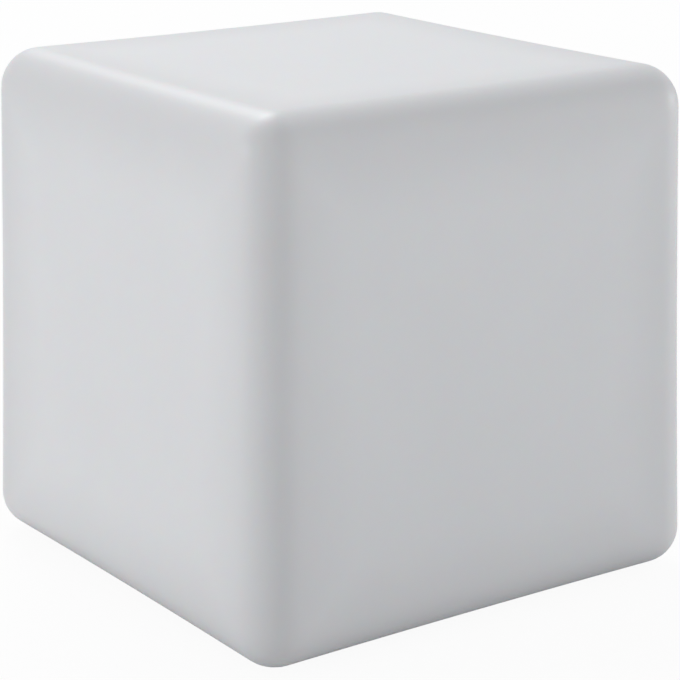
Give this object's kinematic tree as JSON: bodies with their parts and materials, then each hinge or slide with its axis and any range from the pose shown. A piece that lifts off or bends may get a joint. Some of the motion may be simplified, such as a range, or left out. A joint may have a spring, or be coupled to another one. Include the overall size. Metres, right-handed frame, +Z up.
{
  "type": "cube light",
  "caption": "Glowing cube light and seat: a hollow moulded cube with soft edges, lit from a sealed rechargeable unit screwed into a well in its base.",
  "frame": {"origin": "on the floor under the middle of the cube, at the bottom centre of its box", "axes": "+Z up through the middle of the cube, -Y the front face, +X the right face"},
  "size_m": [0.4086, 0.4086, 0.3995],
  "materials": {
    "aluminium": "stamped",
    "black_plastic": "matt",
    "black_rubber": "matt",
    "brass": "machined",
    "cell_sleeve": "heat-shrink sleeve",
    "chip_black": "matt",
    "clear_pipe": "polished",
    "foam": "open",
    "green_board": "green solder resist",
    "grey_silicone": "matt",
    "lead_sleeve": "soft",
    "led_package": "white case, yellow face",
    "light_grey_plastic": "matt",
    "milky_diffuser": "soft gloss, milky",
    "moulded_polyethylene": "satin, finely textured translucent white",
    "nickel": "plated",
    "smoked_window": "polished",
    "stainless_steel": "turned",
    "white_board": "white solder resist",
    "white_plastic": "fine matt texture"
  },
  "bodies": {
    "root": {"battery_cells": "cell_sleeve", "battery_cradle": "light_grey_plastic", "battery_lead": "lead_sleeve", "battery_pad": "foam", "board_connectors": "white_plastic", "body_screws": "stainless_steel", "body_seal": "grey_silicone", "button_bellows": "grey_silicone", "cell_tabs": "nickel", "control_board": "green_board", "control_board_screws": "stainless_steel", "control_chips": "chip_black", "cradle_screws": "stainless_steel", "cube_shell": "moulded_polyethylene", "diffuser_dome": "milky_diffuser", "dome_ring": "white_plastic", "dome_seal": "grey_silicone", "flange_gasket": "grey_silicone", "heat_spreader": "aluminium", "ir_receiver": "chip_black", "ir_window": "smoked_window", "jack_barrel": "black_plastic", "jack_cover_strap": "black_rubber", "jack_lead": "lead_sleeve", "jack_nut": "nickel", "jack_pin": "nickel", "jack_terminals": "nickel", "lamp_body": "white_plastic", "lead_grommet": "black_rubber", "led_board": "white_board", "led_board_screws": "stainless_steel", "led_connector": "white_plastic", "led_lead": "lead_sleeve", "led_packages": "led_package", "power_inductors": "chip_black", "rubber_feet": "black_rubber", "status_led": "led_package", "status_light_pipe": "clear_pipe", "switch_barrel": "stainless_steel", "switch_lead": "lead_sleeve", "switch_nut": "stainless_steel", "switch_seal": "black_rubber", "switch_terminals": "nickel", "threaded_inserts": "brass", "unit_base": "white_plastic", "unit_screws": "stainless_steel"},
    "power_button": {"power_button": "stainless_steel"},
    "jack_cover": {"jack_cover": "black_rubber"}
  },
  "joints": [
    {"name": "power_button_press", "type": "slide", "parent": "root", "child": "power_button", "axis": [0, 0, 1], "range_m": [0, 0.0015], "stiffness_N_per_m": 1000, "springref_m": -0.0006, "deforming": ["button_bellows"]},
    {"name": "jack_cover_hinge", "type": "hinge", "parent": "root", "child": "jack_cover", "pos_m": [-0.034, 0, 0.0142], "axis": [0, 1, 0], "range_deg": [0, 150]}
  ]
}
